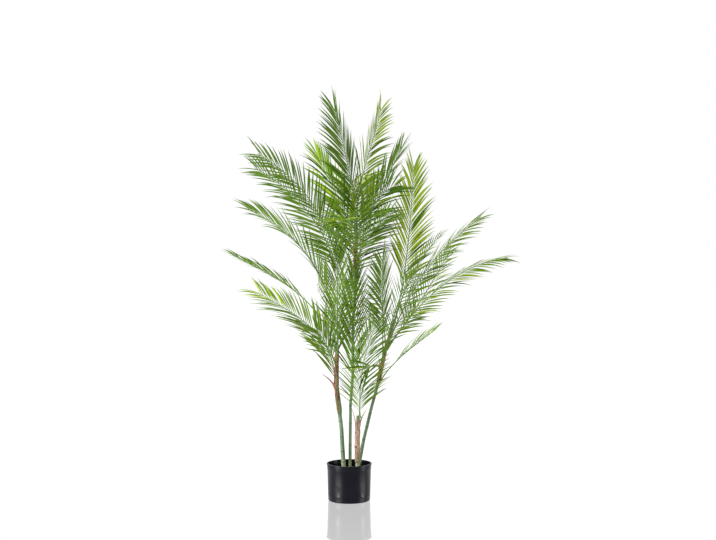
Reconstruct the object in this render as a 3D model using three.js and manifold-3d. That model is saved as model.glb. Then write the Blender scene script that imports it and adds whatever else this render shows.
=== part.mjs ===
// Potted artificial chamaedorea palm: four stems and their fronds in a plain nursery pot.
// Millimetres, +Z up. The origin is the middle of the pot's flat underside, +X runs to the
// right across the widest spread of the fronds and -Y faces the viewer.
import * as THREE from 'three';
import { mergeVertices } from 'three/addons/utils/BufferGeometryUtils.js';
import Module from 'manifold-3d';

const wasm = await Module();
wasm.setup();
const { Manifold, Mesh } = wasm;

// Pot
const POT_HEIGHT = 134;
const POT_FOOT_R = 76;        // at the underside's rounded edge
const POT_TOP_R = 79.5;       // just below the rim
const POT_RIM_R = 82;
const POT_RIM_DROP = 5;       // height of the rolled rim
const POT_RIM_EDGE = 1;       // bevels of the rim
const POT_EDGE_R = 5;         // rounding of the lower edge
const POT_EDGE_STEPS = 4;
const POT_WALL = 2.4;
const POT_FLOOR = 3;
const POT_SIDES = 40;
const HOOP_OUT = 0.9;         // stacking hoops under the rim
const HOOP_HEIGHT = 4;
const HOOP_STEP = 7;
const HOOP_COUNT = 2;

// Cast fill that holds the stems
const FILL_TOP = 100;
const FILL_EDGE = 3;          // bevel of the fill's upper edge
const CLEAR = 0.3;            // gap between separate pieces
const ROUND_CLEAR = 0.5;      // the same between the faceted round walls of pot and fill

// Stems: stations [height, x, y, radius], from the flat cut on the fill to the tip
const STEMS = {
  left: [[100, -19.5, 6, 8], [256, -28, 8, 7.2], [362, -40.5, 10, 6.8], [409, -47, 11, 6.4],
    [499, -45, 12, 5.6], [561, -44, 12, 5]],
  middle: [[100, 2.7, 22, 5.8], [340, 4.4, 22, 5.4], [452, 13, 22, 5.2], [652, 14, 22, 5],
    [768, 23.5, 22, 4.8], [837, 21, 22, 4.6], [905, 24, 22, 4.4], [985, 26.5, 22, 4]],
  front: [[100, 29.5, -16, 7], [253, 30, -18, 6.4], [308, 34, -20, 5.6]],
  right: [[100, 31, 16, 6.6], [217, 53, 18, 6.2], [338, 82.5, 20, 6], [423, 106, 22, 5.6],
    [536, 130, 24, 5.2], [641, 162, 26, 4.4]],
};
const STEM_SIDES = 8;
const STEM_GAP = CLEAR / Math.cos(Math.PI / STEM_SIDES);  // at the corners of a tube's flats

// Fibrous sheaths round the upper stems: from, to, thickness at the foot and at the lip
const SHEATHS = {
  left: { from: 308, to: 548, thick: 2.2, lip: 1.3 },
  middle: { from: 815, to: 962, thick: 2.0, lip: 1.2 },
  front: { from: 138, to: 300, thick: 2.4, lip: 1.4 },
  right: { from: 414, to: 612, thick: 2.0, lip: 1.2 },
};

// Dried tongues that stand off the sheaths: height, heading, length, rise and width
const TONGUES = {
  left: [{ at: 404, heading: 190, out: 52, rise: 56, wide: 9 },
    { at: 455, heading: 250, out: 14, rise: 46, wide: 8 }],
  middle: [{ at: 880, heading: 200, out: 16, rise: 50, wide: 7 }],
  front: [{ at: 268, heading: -12, out: 30, rise: 70, wide: 10 },
    { at: 262, heading: 160, out: 18, rise: 78, wide: 10 },
    { at: 250, heading: -100, out: 16, rise: 66, wide: 9 }],
  right: [{ at: 470, heading: 120, out: 15, rise: 52, wide: 8 },
    { at: 584, heading: 56, out: 22, rise: 34, wide: 6 }],
};
const TONGUE_THICK = 2.2;
const TONGUE_BELLY = { out: 0.3, rise: 0.55 };  // where a tongue is widest, over its size
const TONGUE_ROOT = 0.8;      // width of its root over its width

// Fronds: height of the foot on its stem, heading (0 is right, 90 is away from the viewer),
// how far the last leaflets' tips reach out and rise, the slopes at the foot and at the tip,
// how far the foot's slope carries, the roll of the blade, the share of the rib that is bare,
// the degrees from the rib at which its first leaflets stand, and their length over the usual
const FROND_SIZES = ['name', 'stem', 'foot', 'heading', 'reach', 'rise', 'lift', 'fall', 'bend',
  'roll', 'bare', 'spread', 'leaf'];
const FRONDS = [
  ['frond_left_1', 'left', 540, 196, 425, 376, 74, 33, 0.43, 15, 0.4, 26, 0.62],
  ['frond_left_2', 'left', 412, 150, 388, 361, 94, 30, 0.42, -44, 0.05, 36, 1.02],
  ['frond_left_3', 'left', 494, 240, 190, 150, 48, 10, 0.42, 51, 0.16, 31, 1.15],
  ['frond_left_4', 'left', 556, 164, 386, 519, 90, 19, 0.47, 45, 0.28, 30, 1],
  ['frond_left_5', 'left', 558, 84, 90, 382, 88, 20, 0.4, -7, 0.08, 30, 1.12],
  ['frond_left_6', 'left', 522, 108, 300, 270, 70, 0, 0.36, 82, 0.28, 60, 1.15],
  ['frond_left_7', 'left', 528, 284, 190, 280, 80, 20, 0.36, -36, 0.11, 47, 1.06],
  ['frond_middle_1', 'middle', 690, 190, 390, 588, 76, 30, 0.6, 80, 0.24, 46, 0.88],
  ['frond_middle_2', 'middle', 866, 132, 240, 459, 94, 68, 0.33, -56, 0.2, 30, 1.03],
  ['frond_middle_3', 'middle', 970, 228, 130, 492, 94, 72, 0.3, 92, 0.12, 42, 1.05],
  ['frond_middle_4', 'middle', 976, 58, 178, 524, 94, 87, 0.42, 84, 0.06, 44, 0.95],
  ['frond_middle_5', 'middle', 936, -24, 195, 393, 90, 76, 0.25, -14, 0.18, 30, 0.92],
  ['frond_middle_6', 'middle', 948, 46, 270, 192, 58, -23, 0.55, 63, 0.24, 39, 1.14],
  ['frond_middle_7', 'middle', 872, -44, 210, 180, 56, 20, 0.4, -71, 0.14, 37, 1.14],
  ['frond_middle_8', 'middle', 930, -106, 250, 20, 88, -55, 0.5, 6, 0.15, 61, 1.15],
  ['frond_middle_9', 'middle', 846, 92, 330, 350, 70, 5, 0.36, 2, 0.14, 61, 1.15],
  ['frond_middle_10', 'middle', 790, 78, 370, 260, 68, 0, 0.36, 15, 0.18, 62, 1.15],
  ['frond_middle_11', 'middle', 742, -104, 330, 230, 72, 0, 0.36, -21, 0.21, 61, 1.15],
  ['frond_middle_12', 'middle', 430, -84, 96, 450, 86, 70, 0.36, 0, 0.05, 30, 1.09],
  ['frond_middle_13', 'middle', 630, 198, 408, 584, 80, 20, 0.5, 68, 0.3, 46, 0.85],
  ['frond_front_1', 'front', 300, -42, 90, 402, 92, 80, 0.6, -62, 0.06, 48, 1.02],
  ['frond_right_1', 'right', 640, 66, 208, 644, 52, 82, 0.33, 38, 0.25, 40, 0.98],
  ['frond_right_2', 'right', 584, 2, 370, 481, 68, 45, 0.58, 140, 0.2, 42, 0.7],
  ['frond_right_3', 'right', 566, -32, 262, 432, 74, 41, 0.6, -10, 0.35, 38, 0.5],
  ['frond_right_4', 'right', 540, -12, 492, 339, 58, -1, 0.46, 150, 0.12, 46, 0.66],
  ['frond_right_5', 'right', 424, -36, 285, 232, 60, 36, 0.27, 30, 0.3, 31, 0.7],
  ['frond_right_6', 'right', 556, 24, 290, 414, 46, 62, 0.3, 62, 0.2, 46, 0.58],
  ['frond_right_7', 'right', 500, -92, 150, 426, 88, 70, 0.36, 46, 0.23, 40, 0.9],
  ['frond_right_8', 'right', 478, -150, 95, -50, 46, -75, 0.36, -82, 0.36, 37, 1.15],
  ['frond_right_9', 'right', 546, 96, 340, 250, 70, 5, 0.36, -48, 0.3, 46, 0.62],
  ['frond_right_10', 'right', 508, 66, 380, 170, 60, -10, 0.36, 31, 0.18, 42, 0.68],
  ['frond_right_11', 'right', 530, -66, 300, 300, 70, 0, 0.36, -43, 0.4, 44, 0.58],
].map((row) => Object.fromEntries(row.map((value, i) => [FROND_SIZES[i], value])));
const RIB_BEND_TIP = 0.3;     // how far the tip's slope carries, over the curve's chord
const RIB_R_FOOT = 3.3;       // circumradius of the three-sided rib
const RIB_R_BLADE = 2.6;
const RIB_R_TIP = 1.7;
const RIB_SHORT = 66;         // the rib ends this far before the frond's tip
const STALK_STATIONS = 5;     // along the bare part of the rib
const LEAFLET_PITCH = 26;     // between pairs along the rib
const LEAFLET_LENGTH = 180;
const LEAFLET_FULL_AT = 500;  // shorter fronds than this have shorter leaflets
const LEAFLET_WIDTH = 12.5;
const LEAFLET_THICK = 2.2;
const LEAFLET_ROOT = 5;       // width of the root, as wide as it is fused to the rib
const LEAFLET_BELLY = 0.4;    // where the leaflet is widest, over its length
const LEAFLET_ARCH = 0.017;   // rise of the belly over the leaflet's length
const LEAFLET_SAG = 0.09;     // drop of the leaflet's tip over its length
const LEAFLET_SLIM = 0.2;     // the last leaflets are slimmer by this share
const LEAFLET_SHORT = 0.3;    // and shorter by this share
const LEAFLET_SWELL = 0.28;   // leaflets in the middle of a blade are longer by this share
const FORWARD_TIP = 0.5;      // the last leaflets' angle from the rib over the first ones'
const VEE = 18;               // how far each half of the blade is folded up
const TURNS = [0, 7, -7, 14]; // turns tried before a leaflet that touches is left out

const rad = THREE.MathUtils.degToRad;
const vec = (x, y, z) => new THREE.Vector3(x, y, z);
const mix = THREE.MathUtils.lerp;
const UP = vec(0, 0, 1);
const headingOf = (degrees) => vec(Math.cos(rad(degrees)), Math.sin(rad(degrees)), 0);

// A closed solid from corner points and triangles
function solidOf(points, faces) {
  const solid = new Manifold(new Mesh({
    numProp: 3,
    vertProperties: new Float32Array(points.flatMap((p) => [p.x, p.y, p.z])),
    triVerts: new Uint32Array(faces.flat()),
  }));
  if (solid.status() !== 'NoError') throw new Error(`open solid: ${solid.status()}`);
  return solid;
}

// A solid of revolution about Z; the profile runs from the axis round to the axis again
function turned(profile, sides) {
  const lathe = new THREE.LatheGeometry(profile.map(([r, h]) => new THREE.Vector2(r, h)), sides);
  lathe.rotateX(Math.PI / 2);
  lathe.deleteAttribute('normal');
  lathe.deleteAttribute('uv');
  const skin = mergeVertices(lathe, 1e-4);
  const at = skin.attributes.position;
  const points = Array.from({ length: at.count }, (_, i) => new THREE.Vector3().fromBufferAttribute(at, i));
  const faces = [];
  for (let i = 0; i < skin.index.count; i += 3) {
    const face = [0, 1, 2].map((k) => skin.index.getX(i + k));
    if (new Set(face).size === 3) faces.push(face);
  }
  return solidOf(points, faces);
}

// A tube along a path of stations {at, out, side, r}, closed by flat ends
function tube(stations, sides) {
  const points = [];
  const faces = [];
  stations.forEach(({ at, out, side, r }) => {
    for (let i = 0; i < sides; i += 1) {
      const a = (2 * Math.PI * i) / sides;
      points.push(at.clone().addScaledVector(out, r * Math.cos(a)).addScaledVector(side, r * Math.sin(a)));
    }
  });
  const ring = (k, i) => k * sides + (i % sides);
  for (let k = 0; k + 1 < stations.length; k += 1) {
    for (let i = 0; i < sides; i += 1) {
      faces.push([ring(k, i), ring(k, i + 1), ring(k + 1, i + 1)]);
      faces.push([ring(k, i), ring(k + 1, i + 1), ring(k + 1, i)]);
    }
  }
  const last = stations.length - 1;
  for (let i = 1; i + 1 < sides; i += 1) {
    faces.push([ring(0, 0), ring(0, i + 1), ring(0, i)]);
    faces.push([ring(last, 0), ring(last, i), ring(last, i + 1)]);
  }
  return solidOf(points, faces);
}

// Stem middle line and radius at a height
function stemAt(name, height) {
  const rows = STEMS[name];
  let k = 0;
  while (k + 2 < rows.length && height > rows[k + 1][0]) k += 1;
  const t = (height - rows[k][0]) / (rows[k + 1][0] - rows[k][0]);
  return {
    at: vec(mix(rows[k][1], rows[k + 1][1], t), mix(rows[k][2], rows[k + 1][2], t), height),
    r: mix(rows[k][3], rows[k + 1][3], Math.min(t, 1)),
  };
}

// A tube round a stem's middle line; grow is its wall at a share of its length
function stemTube(name, from, to, grow) {
  const between = STEMS[name].map(([height]) => height).filter((h) => h > from + CLEAR && h < to - CLEAR);
  return tube([from, ...between, to].map((h, k, all) => {
    const { at, r } = stemAt(name, h);
    const wall = typeof grow === 'number' ? grow : grow(k / (all.length - 1));
    return { at, out: vec(1, 0, 0), side: vec(0, 1, 0), r: r + wall };
  }), STEM_SIDES);
}

// Pot: a turned cup with hoops under its rolled rim, closed at its flat underside
function makePot() {
  const wallTop = POT_HEIGHT - POT_RIM_DROP;
  const wallAt = (h) => mix(POT_FOOT_R, POT_TOP_R, h / wallTop);
  const profile = [[0, 0], [POT_FOOT_R - POT_EDGE_R, 0]];
  for (let i = 1; i <= POT_EDGE_STEPS; i += 1) {
    const a = (Math.PI / 2) * (i / POT_EDGE_STEPS);
    profile.push([POT_FOOT_R - POT_EDGE_R * (1 - Math.sin(a)), POT_EDGE_R * (1 - Math.cos(a))]);
  }
  for (let i = HOOP_COUNT; i >= 1; i -= 1) {
    const h = wallTop - i * HOOP_STEP;
    const hoop = wallAt(h) + HOOP_OUT;
    profile.push([wallAt(h), h], [hoop, h + HOOP_OUT], [hoop, h + HOOP_HEIGHT - HOOP_OUT],
      [wallAt(h + HOOP_HEIGHT), h + HOOP_HEIGHT]);
  }
  profile.push([POT_TOP_R, wallTop], [POT_RIM_R, wallTop + POT_RIM_EDGE],
    [POT_RIM_R, POT_HEIGHT - POT_RIM_EDGE], [POT_RIM_R - POT_RIM_EDGE, POT_HEIGHT],
    [POT_TOP_R - POT_WALL + POT_RIM_EDGE, POT_HEIGHT], [POT_TOP_R - POT_WALL, POT_HEIGHT - POT_RIM_EDGE],
    [POT_FOOT_R - POT_WALL, POT_EDGE_R], [POT_FOOT_R - POT_EDGE_R, POT_FLOOR], [0, POT_FLOOR]);
  return turned(profile, POT_SIDES);
}

// Fill: the pot's inside up to the fill's level, smaller by the clearance
function makeFill() {
  const wall = (h) => mix(POT_FOOT_R, POT_TOP_R, (h - POT_EDGE_R) / (POT_HEIGHT - POT_RIM_EDGE - POT_EDGE_R))
    - POT_WALL - ROUND_CLEAR;
  const low = POT_FLOOR + CLEAR;
  return turned([[0, low], [POT_FOOT_R - POT_EDGE_R - ROUND_CLEAR, low],
    [wall(POT_EDGE_R + CLEAR), POT_EDGE_R + CLEAR], [wall(FILL_TOP - FILL_EDGE), FILL_TOP - FILL_EDGE],
    [wall(FILL_TOP) - FILL_EDGE, FILL_TOP], [0, FILL_TOP]], POT_SIDES);
}

// A tongue of ten faces: a three-cornered root, a ridged belly and a pointed tip
function makeTongue(name, { at, heading, out, rise, wide }) {
  const stem = stemAt(name, at);
  const aim = headingOf(heading);
  const across = vec(-aim.y, aim.x, 0);
  const reach = (h, v) => stem.at.clone().addScaledVector(aim, stem.r + CLEAR + TONGUE_THICK / 2 + h)
    .addScaledVector(UP, v);
  const tip = reach(out, rise);
  const up = tip.clone().sub(reach(0, 0)).cross(across).normalize();
  const corners = (place, w, t) => [
    place.clone().addScaledVector(across, -w / 2).addScaledVector(up, -t / 3),
    place.clone().addScaledVector(across, w / 2).addScaledVector(up, -t / 3),
    place.clone().addScaledVector(up, (2 * t) / 3),
  ];
  const points = [...corners(reach(0, 0), wide * TONGUE_ROOT, TONGUE_THICK / 2),
    ...corners(reach(out * TONGUE_BELLY.out, rise * TONGUE_BELLY.rise), wide, TONGUE_THICK), tip];
  const faces = [[0, 2, 1]];
  for (let i = 0; i < 3; i += 1) {
    const j = (i + 1) % 3;
    faces.push([i, j, 3 + j], [i, 3 + j, 3 + i], [3 + i, 3 + j, 6]);
  }
  return solidOf(points, faces);
}

// A sleeve that follows the stem, with its dried tongues
function makeSheath(name) {
  const { from, to, thick, lip } = SHEATHS[name];
  const bore = stemTube(name, from - thick, STEMS[name].at(-1)[0] + thick, STEM_GAP);
  const sleeve = stemTube(name, from, to, (t) => STEM_GAP + mix(thick, lip, t));
  const sheath = TONGUES[name].reduce((all, tongue) => all.add(makeTongue(name, tongue)), sleeve);
  return sheath.subtract(bore);
}

// The rib's curve: a cubic in the vertical plane of the frond's heading
function ribCurve({ stem, foot, heading, reach, rise, lift, fall, bend }) {
  const aim = headingOf(heading);
  const { at, r } = stemAt(stem, foot);
  const start = at.addScaledVector(aim, r + 1);
  const plane = (h, v) => start.clone().addScaledVector(aim, h).addScaledVector(UP, v);
  const chord = Math.hypot(reach, rise);
  const low = chord * bend;
  const high = chord * RIB_BEND_TIP;
  return {
    aim,
    curve: new THREE.CubicBezierCurve3(start,
      plane(low * Math.cos(rad(lift)), low * Math.sin(rad(lift))),
      plane(reach - high * Math.cos(rad(fall)), rise - high * Math.sin(rad(fall))),
      plane(reach, rise)),
  };
}

// Directions across the blade and out of it at a place on the rib
function ribFrame(aim, curve, t, roll) {
  const along = curve.getTangentAt(t);
  const side = vec(-aim.y, aim.x, 0).applyAxisAngle(along, rad(roll)).normalize();
  return { at: curve.getPointAt(t), along, side, out: along.clone().cross(side).normalize() };
}

// Rings of the rib's three corners: down the stalk, then two beside each pair of leaflets
function ribPlan(frond) {
  const { aim, curve } = ribCurve(frond);
  const { roll, bare, spread, leaf } = frond;
  const length = curve.getLength();
  const end = 1 - RIB_SHORT / length;
  const half = LEAFLET_ROOT / 2 / length;
  const pairs = Math.max(3, Math.round((length * (end - bare)) / LEAFLET_PITCH));
  const rings = [];
  const ring = (t) => {
    const { at, side, out } = ribFrame(aim, curve, t, roll);
    const r = t < bare ? mix(RIB_R_FOOT, RIB_R_BLADE, t / bare)
      : mix(RIB_R_BLADE, RIB_R_TIP, (t - bare) / (end - bare));
    rings.push([0, 1, 2].map((i) => at.clone().addScaledVector(out, r * Math.cos(2 * Math.PI * i / 3))
      .addScaledVector(side, -r * Math.sin(2 * Math.PI * i / 3))));
  };
  for (let k = 0; k < STALK_STATIONS; k += 1) ring((bare * k) / STALK_STATIONS);
  const places = [];
  for (let k = 0; k <= pairs; k += 1) {
    const s = k / pairs;
    const t = mix(bare, end - 2 * half, s);
    ring(t - half);
    ring(t + half);
    places.push({ s, spread, frame: ribFrame(aim, curve, t, roll), ring: rings.length - 2 });
  }
  const full = leaf * LEAFLET_LENGTH * Math.min(1, 0.5 + length / LEAFLET_FULL_AT / 2);
  return { rings, places, full };
}

// Corners of a leaflet's belly and tip: rear edge, ridge, front edge, tip
function leafletShape({ s, spread, frame: { at, along, side, out } }, hand, turn, full) {
  const forward = rad(mix(spread, spread * FORWARD_TIP, s ** 1.3) + turn);
  const vee = rad(VEE);
  const dir = along.clone().multiplyScalar(Math.cos(forward))
    .addScaledVector(side, hand * Math.cos(vee) * Math.sin(forward))
    .addScaledVector(out, Math.sin(vee) * Math.sin(forward)).normalize();
  const swell = 1 - LEAFLET_SWELL * (1 - Math.sin(Math.PI * mix(0.15, 0.9, s)));
  const size = full * swell * (1 - LEAFLET_SHORT * s * s);
  const across = along.clone().addScaledVector(dir, -along.dot(dir)).normalize();
  const up = across.clone().cross(dir).normalize();
  if (up.dot(out) < 0) up.negate();
  const belly = at.clone().addScaledVector(dir, size * LEAFLET_BELLY)
    .addScaledVector(UP, size * LEAFLET_ARCH);
  const wide = LEAFLET_WIDTH * (1 - LEAFLET_SLIM * s);
  return {
    rear: belly.clone().addScaledVector(across, -wide / 2).addScaledVector(up, -LEAFLET_THICK / 3),
    ridge: belly.clone().addScaledVector(up, (2 * LEAFLET_THICK) / 3),
    front: belly.clone().addScaledVector(across, wide / 2).addScaledVector(up, -LEAFLET_THICK / 3),
    tip: at.clone().addScaledVector(dir, size).addScaledVector(UP, -size * LEAFLET_SAG),
  };
}

// A skin that grows face by face
class Skin {
  constructor() {
    this.points = [];
    this.faces = [];
  }

  add(points) {
    this.points.push(...points);
    return points.map((_, i) => this.points.length - points.length + i);
  }

  quad(a, b, c, d) {
    this.faces.push([a, b, c], [a, c, d]);
  }

  // The leaflet that grows out of the four-cornered place q on the rib's flank
  leaflet(q, shape, hand) {
    const [rear, ridge, front, tip] = this.add([shape.rear, shape.ridge, shape.front, shape.tip]);
    const belly = hand < 0 ? [ridge, rear, front, ridge] : [rear, ridge, ridge, front];
    for (let i = 0; i < 4; i += 1) {
      const j = (i + 1) % 4;
      if (belly[i] === belly[j]) this.faces.push([q[i], q[j], belly[i]]);
      else {
        this.quad(q[i], q[j], belly[j], belly[i]);
        this.faces.push([belly[i], belly[j], tip]);
      }
    }
  }
}

// Corners of the flank that carries the leaflets of one hand, between ring k and the next
const flank = (rings, k, hand) => {
  const i = hand < 0 ? 0 : 2;
  const j = (i + 1) % 3;
  return [rings[k][i], rings[k][j], rings[k + 1][j], rings[k + 1][i]];
};

function leafletSolid(rings, k, hand, shape) {
  const skin = new Skin();
  const q = skin.add(flank(rings, k, hand));
  skin.quad(q[3], q[2], q[1], q[0]);
  skin.leaflet(q, shape, hand);
  return solidOf(skin.points, skin.faces);
}

// The whole frond as one skin; leaves maps "ring hand" to the shape of the leaflet there
function frondSolid({ rings }, leaves, keepOff) {
  const skin = new Skin();
  const ids = rings.map((ring) => skin.add(ring));
  for (let k = 0; k + 1 < ids.length; k += 1) {
    [[0, -1], [1, 0], [2, 1]].forEach(([i, hand]) => {
      const j = (i + 1) % 3;
      const q = [ids[k][i], ids[k][j], ids[k + 1][j], ids[k + 1][i]];
      const shape = leaves.get(`${k} ${hand}`);
      if (shape) skin.leaflet(q, shape, hand);
      else skin.quad(...q);
    });
  }
  const last = ids.at(-1);
  skin.faces.push([ids[0][0], ids[0][2], ids[0][1]], [last[0], last[1], last[2]]);
  const solid = solidOf(skin.points, skin.faces).subtract(keepOff);
  return solid.decompose().sort((a, b) => b.volume() - a.volume())[0];
}

const boxed = (solid) => ({ solid, box: solid.boundingBox() });
const near = (a, b, gap) => [0, 1, 2].every((i) => a.min[i] - gap < b.max[i] && b.min[i] - gap < a.max[i]);
const touches = (piece, others) => others.some((other) => near(piece.box, other.box, CLEAR)
  && piece.solid.minGap(other.solid, CLEAR) < CLEAR - 0.02);

const solids = new Map();
solids.set('pot', makePot());
solids.set('fill', makeFill());
Object.keys(STEMS).forEach((name) => {
  solids.set(`stem_${name}`, stemTube(name, FILL_TOP + CLEAR, STEMS[name].at(-1)[0], 0));
});
Object.keys(SHEATHS).forEach((name) => solids.set(`sheath_${name}`, makeSheath(name)));

// Room that the fronds' feet keep from their stem and sheath
const keepOff = {};
Object.keys(STEMS).forEach((name) => {
  const { from, to, thick, lip } = SHEATHS[name];
  keepOff[name] = stemTube(name, FILL_TOP, STEMS[name].at(-1)[0] + CLEAR, STEM_GAP)
    .add(stemTube(name, from - CLEAR, to + CLEAR, (t) => 2 * STEM_GAP + mix(thick, lip, t)));
});

// Every rib is laid before any leaflet, so that leaflets give way to ribs
const fixed = [...solids.values()].map(boxed);
const plans = FRONDS.map(ribPlan);
const ribs = plans.map((plan, i) => boxed(frondSolid(plan, new Map(), keepOff[FRONDS[i].stem])));
ribs.forEach((rib, i) => {
  [...fixed, ...ribs.slice(0, i)].forEach((other, j) => {
    const label = j < fixed.length ? [...solids.keys()][j] : FRONDS[j - fixed.length].name;
    if (touches(rib, [other])) throw new Error(`the rib of ${FRONDS[i].name} touches ${label}`);
  });
});

// Leaflets go on pair by pair round the whole plant, so that no frond is favoured
const blades = FRONDS.map(() => []);
const leaves = FRONDS.map(() => new Map());
for (let k = 0; k < Math.max(...plans.map(({ places }) => places.length)); k += 1) {
  plans.forEach(({ rings, places, full }, i) => {
    if (k >= places.length) return;
    [-1, 1].forEach((hand) => {
      const place = places[k];
      const others = [...fixed, ...ribs.filter((_, j) => j !== i),
        ...blades.filter((_, j) => j !== i).flat(), ...blades[i].filter((leaf) => leaf.hand === hand)];
      const tried = (shape) => boxed(leafletSolid(rings, place.ring, hand, shape));
      const shape = TURNS.map((turn) => leafletShape(place, hand, turn, full))
        .find((each) => !touches(tried(each), others));
      if (shape) {
        leaves[i].set(`${place.ring} ${hand}`, shape);
        blades[i].push({ ...tried(shape), hand });
      }
    });
  });
}
FRONDS.forEach(({ name, stem }, i) => solids.set(name, frondSolid(plans[i], leaves[i], keepOff[stem])));

// Materials
const looks = {
  pot: { color: 0x1c1c24, roughness: 0.42 },
  fill: { color: 0x3a3733, roughness: 0.95 },
  stem: { color: 0x6b8f6c, roughness: 0.6 },
  sheath: { color: 0x8a5f3c, roughness: 0.85 },
  frond: { color: 0x5f8f2f, roughness: 0.6 },
};
const tints = [0x5f8f2f, 0x4f8230, 0x74a03a, 0x3f6f28];

const group = new THREE.Group();
group.name = 'potted_chamaedorea_palm';
let dealt = 0;
solids.forEach((solid, name) => {
  const mesh = solid.getMesh();
  const geometry = new THREE.BufferGeometry();
  geometry.setAttribute('position', new THREE.BufferAttribute(new Float32Array(mesh.vertProperties), 3));
  geometry.setIndex([...mesh.triVerts]);
  const kind = name.split('_')[0];
  const look = { ...looks[kind] };
  if (kind === 'frond') {
    look.color = tints[dealt % tints.length];
    dealt += 1;
  }
  const node = new THREE.Mesh(geometry, new THREE.MeshStandardMaterial({ ...look, metalness: 0 }));
  node.name = name;
  group.add(node);
});

export default group;
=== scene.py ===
"""Artificial potted chamaedorea palm: the looks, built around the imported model.

The pot, the cast fill, the stems, their fibrous sheaths and the fronds are modelled here as fine
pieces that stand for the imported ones, each in the same place and within the same reach.
Everything is in metres, +Z up; the sizes that repeat the part's own are written in millimetres
and scaled by MM.
"""

import math

import bmesh
import bpy
import numpy as np
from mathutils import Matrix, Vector, kdtree, noise


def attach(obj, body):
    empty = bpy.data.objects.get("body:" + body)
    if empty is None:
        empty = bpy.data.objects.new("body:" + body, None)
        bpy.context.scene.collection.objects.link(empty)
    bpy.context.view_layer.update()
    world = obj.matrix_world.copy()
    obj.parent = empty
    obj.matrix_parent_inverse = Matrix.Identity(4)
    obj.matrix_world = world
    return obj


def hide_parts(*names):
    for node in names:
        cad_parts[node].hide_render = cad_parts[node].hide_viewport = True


bl_info = {
    "name": "Potted chamaedorea palm",
    "version": (1, 0, 0),
    "blender": (4, 5, 0),
    "location": "3D View > Sidebar > Palm",
    "description": "Builds an artificial chamaedorea palm in a nursery pot, with its studio",
    "category": "Add Mesh",
}

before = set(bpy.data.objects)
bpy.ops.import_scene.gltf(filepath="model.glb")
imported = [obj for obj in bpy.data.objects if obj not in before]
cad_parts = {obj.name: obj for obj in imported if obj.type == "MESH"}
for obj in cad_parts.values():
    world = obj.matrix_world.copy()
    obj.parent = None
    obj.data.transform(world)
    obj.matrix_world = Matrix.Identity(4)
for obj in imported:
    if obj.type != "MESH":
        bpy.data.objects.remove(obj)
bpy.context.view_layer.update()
MM = 0.001
BODY = "root"
SEED = 5822

# Pot, in millimetres
POT_HEIGHT = 134
POT_FOOT_R = 76
POT_TOP_R = 79.5
POT_RIM_R = 82
POT_RIM_DROP = 5
POT_EDGE_R = 5
POT_WALL = 2.4
POT_FLOOR = 3
HOOP_OUT = 0.9
HOOP_HEIGHT = 4
HOOP_STEP = 7
HOOP_COUNT = 2

# Pot: height of its moulded seam and how far that stands out, then the radii under the lip, on
# it and inside the mouth, and of the corner inside
SEAM_AT = 21
SEAM_OUT = 0.35
LIP_UNDER_R = 1.2
LIP_R = 1.3
MOUTH_R = 1
POT_CORNER_R = 3

# Fill: its top, its play in the pot, and its corner and edge
FILL_TOP = 100
ROUND_CLEAR = 0.5
FILL_LIFT = 0.3
FILL_CORNER = 4
FILL_EDGE = 1.5

# Stems: stations (height, x, y, radius)
STEMS = {
    "left": [(100, -19.5, 6, 8), (256, -28, 8, 7.2), (362, -40.5, 10, 6.8), (409, -47, 11, 6.4),
             (499, -45, 12, 5.6), (561, -44, 12, 5)],
    "middle": [(100, 2.7, 22, 5.8), (340, 4.4, 22, 5.4), (452, 13, 22, 5.2), (652, 14, 22, 5),
               (768, 23.5, 22, 4.8), (837, 21, 22, 4.6), (905, 24, 22, 4.4), (985, 26.5, 22, 4)],
    "front": [(100, 29.5, -16, 7), (253, 30, -18, 6.4), (308, 34, -20, 5.6)],
    "right": [(100, 31, 16, 6.6), (217, 53, 18, 6.2), (338, 82.5, 20, 6), (423, 106, 22, 5.6),
              (536, 130, 24, 5.2), (641, 162, 26, 4.4)],
}

# Rings on the stems: stations across one, how far up and down it swells, and half the height of
# its dark scar; then the steps between the other stations, and the stem's waviness
RING_STATIONS = (-2.8, -1.2, 0, 1.2, 2.8)
RING_SPREAD = 1.5
RING_SCAR = 1.3
STEM_STEP = 9
STEM_WAVE = 0.12

# Heights from which a stem pales towards its cut foot, and under which it is palest
PALE_FROM = 165
PALE_BELOW = 118

# Heights of the rings on each stem
NODES = {
    "left": (138, 176, 228, 285),
    "middle": (142, 196, 275, 338, 402, 470, 540, 612, 688, 764),
    "front": (124,),
    "right": (132, 168, 216, 262, 312, 366, 402),
}

# Sheaths: from, to, thickness at the foot and at the lip
SHEATHS = {
    "left": (308, 548, 2.2, 1.3),
    "middle": (815, 962, 2.0, 1.2),
    "front": (138, 300, 2.4, 1.4),
    "right": (414, 612, 2.0, 1.2),
}

# Sheaths' make: faces round and up one, how far it stands off the stem, its ridges and its
# wobble, and the share of its height where the notches of the lip begin
SHEATH_SIDES = 36
SHEATH_LEVELS = 60
SHEATH_OFF = 0.3
RIDGE_OUT = 0.6
WOBBLE_OUT = 0.5
NOTCH_FROM = 0.8

# Knots, where old leaves were: their heights on the short sheath, how far and how high they
# swell, and half the height of their dark scar
KNOTS = {"front": (196, 246)}
KNOT_OUT = 1.2
KNOT_SPREAD = 7
KNOT_SCAR = 4.5

# The fibres, by number, then each sheath's main fibre, the one mixed with it, and how seldom
# green shows through on its right side
BROWN, STRAW, DARK, GREEN, RED = range(5)
SHEATH_LOOKS = {
    "left": (BROWN, DARK, 0.22),
    "middle": (BROWN, DARK, 0.5),
    "front": (STRAW, BROWN, 0.75),
    "right": (BROWN, STRAW, 0.85),
}

# Loose fibres: how far their tips splay and how often, and their thickness
SPLAYS = (0.4, 1.2, 5.0, 11.0)
SPLAY_ODDS = (0.5, 0.3, 0.15, 0.05)
STRAND_THICK = 0.5

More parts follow.
